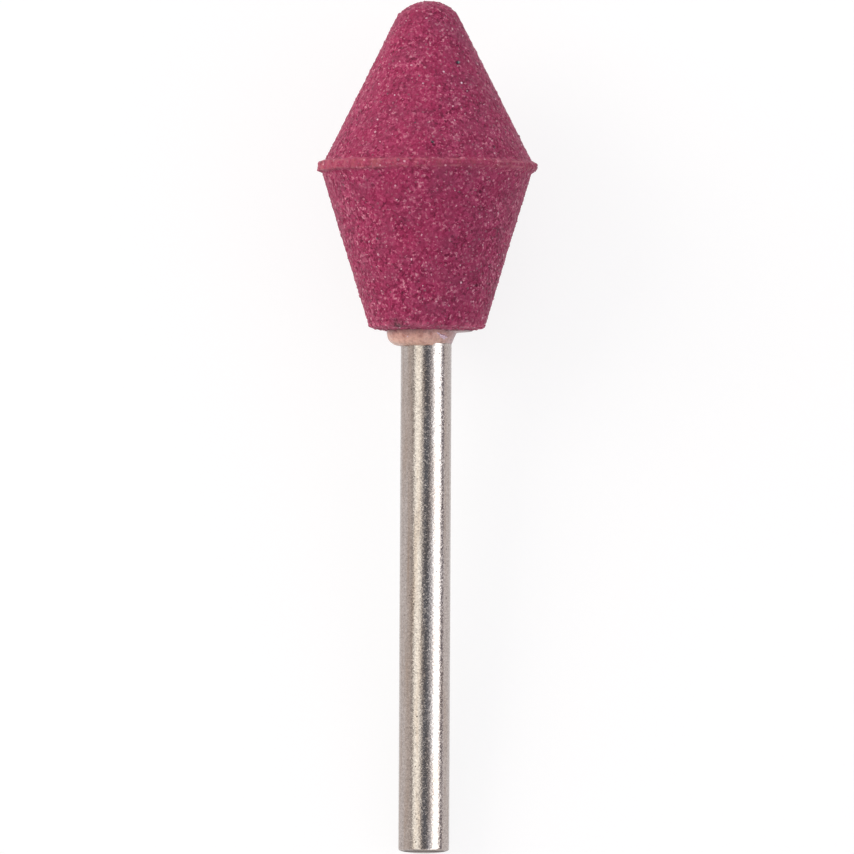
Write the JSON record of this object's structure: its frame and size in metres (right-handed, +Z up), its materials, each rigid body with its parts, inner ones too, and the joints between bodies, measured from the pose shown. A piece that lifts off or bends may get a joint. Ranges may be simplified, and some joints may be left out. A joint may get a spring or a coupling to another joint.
{
  "type": "mounted point",
  "caption": "Abrasive stone that tapers both ways from a moulded ring to a rounded nose and a flat heel, cemented on a plain round steel shank.",
  "frame": {"origin": "on the floor, under the middle of the bounding box, with the tool lying at rest on the stone's ring and on the edge of the shank's end", "axes": "+Z up, +Y along the length from the shank's free end to the nose, +X across; the tool's own axis lies in the YZ plane and rises 7.1 degrees towards +Y"},
  "size_m": [0.013, 0.0502, 0.0129],
  "materials": {
    "abrasive": "rough vitrified aluminium oxide grit, ruby pink",
    "cement": "hardened peach cement, slightly glossy",
    "steel": "bright ground steel with fine marks round it"
  },
  "bodies": {
    "root": {"abrasive_stone": "abrasive", "cement": "cement", "steel_shank": "steel"}
  },
  "joints": []
}
